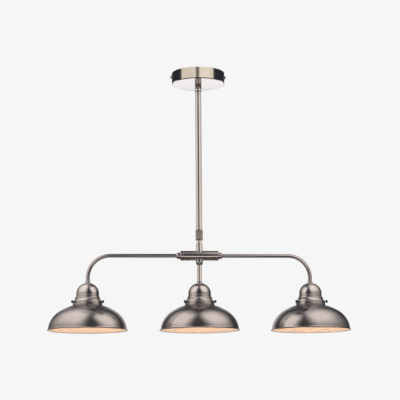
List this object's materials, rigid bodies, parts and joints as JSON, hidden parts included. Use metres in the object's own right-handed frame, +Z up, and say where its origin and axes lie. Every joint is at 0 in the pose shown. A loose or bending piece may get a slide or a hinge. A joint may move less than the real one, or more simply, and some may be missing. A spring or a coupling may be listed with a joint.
{
  "type": "ceiling light",
  "caption": "Bar pendant ceiling light: bell shades hang from bent arms and a straight drop under a telescopic stem with a knurled clamp collar and a round ceiling cup.",
  "frame": {"origin": "middle of the ceiling cup's rim, in the plane where it meets the ceiling", "axes": "+Z up into the ceiling, +X along the bar of lamps, the light hangs towards -Z"},
  "size_m": [0.904, 0.24, 0.7858],
  "materials": {
    "antique_metal": "brushed antique nickel under lacquer",
    "shade_metal": "brushed antique nickel outside, warm white inside",
    "zinc_plate": "zinc plated",
    "black_steel": "black oxide",
    "collet_brass": "turned",
    "nylon": "moulded",
    "holder_plastic": "moulded",
    "bulb_glass": "frosted, lit warm",
    "cap_metal": "pressed"
  },
  "bodies": {
    "ceiling_mount": {"ceiling_bracket": "zinc_plate", "ceiling_cup": "antique_metal", "cup_screws": "antique_metal", "terminal_block": "nylon", "top_nipple": "zinc_plate", "nipple_washer": "zinc_plate", "nipple_nut": "zinc_plate", "top_coupler": "antique_metal", "tube_bush": "antique_metal", "outer_tube": "antique_metal", "collet": "collet_brass"},
    "clamp_collar": {"clamp_collar": "antique_metal"},
    "lamp_bar": {"inner_tube": "antique_metal", "glide_bush": "nylon", "stem_coupler": "antique_metal", "hub": "antique_metal", "hub_end_left": "antique_metal", "hub_end_right": "antique_metal", "arm_left": "antique_metal", "arm_right": "antique_metal", "arm_grub_screws": "black_steel", "drop_ferrule": "antique_metal", "drop_tube": "antique_metal", "dome_nut_left": "antique_metal", "dome_left": "antique_metal", "gallery_left": "antique_metal", "shade_left": "shade_metal", "lampholder_left": "holder_plastic", "holder_ring_left": "holder_plastic", "dome_nut_middle": "antique_metal", "dome_middle": "antique_metal", "gallery_middle": "antique_metal", "shade_middle": "shade_metal", "lampholder_middle": "holder_plastic", "holder_ring_middle": "holder_plastic", "dome_nut_right": "antique_metal", "dome_right": "antique_metal", "gallery_right": "antique_metal", "shade_right": "shade_metal", "lampholder_right": "holder_plastic", "holder_ring_right": "holder_plastic"},
    "thumb_screw_left_1": {"thumb_screw_left_1": "antique_metal"},
    "thumb_screw_left_2": {"thumb_screw_left_2": "antique_metal"},
    "thumb_screw_left_3": {"thumb_screw_left_3": "antique_metal"},
    "bulb_left": {"bulb_cap_left": "cap_metal", "bulb_glass_left": "bulb_glass"},
    "thumb_screw_middle_1": {"thumb_screw_middle_1": "antique_metal"},
    "thumb_screw_middle_2": {"thumb_screw_middle_2": "antique_metal"},
    "thumb_screw_middle_3": {"thumb_screw_middle_3": "antique_metal"},
    "bulb_middle": {"bulb_cap_middle": "cap_metal", "bulb_glass_middle": "bulb_glass"},
    "thumb_screw_right_1": {"thumb_screw_right_1": "antique_metal"},
    "thumb_screw_right_2": {"thumb_screw_right_2": "antique_metal"},
    "thumb_screw_right_3": {"thumb_screw_right_3": "antique_metal"},
    "bulb_right": {"bulb_cap_right": "cap_metal", "bulb_glass_right": "bulb_glass"}
  },
  "joints": [
    {"name": "stem_slide", "type": "slide", "parent": "ceiling_mount", "child": "lamp_bar", "axis": [0, 0, -1], "range_m": [0, 0.32]},
    {"name": "clamp_collar_turn", "type": "hinge", "parent": "ceiling_mount", "child": "clamp_collar", "pos_m": [0, 0, -0.50005], "axis": [0, 0, -1], "range_deg": [0, 360]},
    {"name": "thumb_screw_left_1_turn", "type": "hinge", "parent": "lamp_bar", "child": "thumb_screw_left_1", "pos_m": [-0.332, 0.047, -0.70185], "axis": [0, 1, 0], "range_deg": [0, 1440]},
    {"name": "thumb_screw_left_2_turn", "type": "hinge", "parent": "lamp_bar", "child": "thumb_screw_left_2", "pos_m": [-0.3727, -0.0235, -0.70185], "axis": [-0.866, -0.5, 0], "range_deg": [0, 1440]},
    {"name": "thumb_screw_left_3_turn", "type": "hinge", "parent": "lamp_bar", "child": "thumb_screw_left_3", "pos_m": [-0.2913, -0.0235, -0.70185], "axis": [0.866, -0.5, 0], "range_deg": [0, 1440]},
    {"name": "bulb_left_turn", "type": "hinge", "parent": "lamp_bar", "child": "bulb_left", "pos_m": [-0.332, 0, -0.69785], "axis": [0, 0, -1], "range_deg": [0, 1080]},
    {"name": "thumb_screw_middle_1_turn", "type": "hinge", "parent": "lamp_bar", "child": "thumb_screw_middle_1", "pos_m": [0, 0.047, -0.70185], "axis": [0, 1, 0], "range_deg": [0, 1440]},
    {"name": "thumb_screw_middle_2_turn", "type": "hinge", "parent": "lamp_bar", "child": "thumb_screw_middle_2", "pos_m": [-0.0407, -0.0235, -0.70185], "axis": [-0.866, -0.5, 0], "range_deg": [0, 1440]},
    {"name": "thumb_screw_middle_3_turn", "type": "hinge", "parent": "lamp_bar", "child": "thumb_screw_middle_3", "pos_m": [0.0407, -0.0235, -0.70185], "axis": [0.866, -0.5, 0], "range_deg": [0, 1440]},
    {"name": "bulb_middle_turn", "type": "hinge", "parent": "lamp_bar", "child": "bulb_middle", "pos_m": [0, 0, -0.69785], "axis": [0, 0, -1], "range_deg": [0, 1080]},
    {"name": "thumb_screw_right_1_turn", "type": "hinge", "parent": "lamp_bar", "child": "thumb_screw_right_1", "pos_m": [0.332, 0.047, -0.70185], "axis": [0, 1, 0], "range_deg": [0, 1440]},
    {"name": "thumb_screw_right_2_turn", "type": "hinge", "parent": "lamp_bar", "child": "thumb_screw_right_2", "pos_m": [0.2913, -0.0235, -0.70185], "axis": [-0.866, -0.5, 0], "range_deg": [0, 1440]},
    {"name": "thumb_screw_right_3_turn", "type": "hinge", "parent": "lamp_bar", "child": "thumb_screw_right_3", "pos_m": [0.3727, -0.0235, -0.70185], "axis": [0.866, -0.5, 0], "range_deg": [0, 1440]},
    {"name": "bulb_right_turn", "type": "hinge", "parent": "lamp_bar", "child": "bulb_right", "pos_m": [0.332, 0, -0.69785], "axis": [0, 0, -1], "range_deg": [0, 1080]}
  ]
}
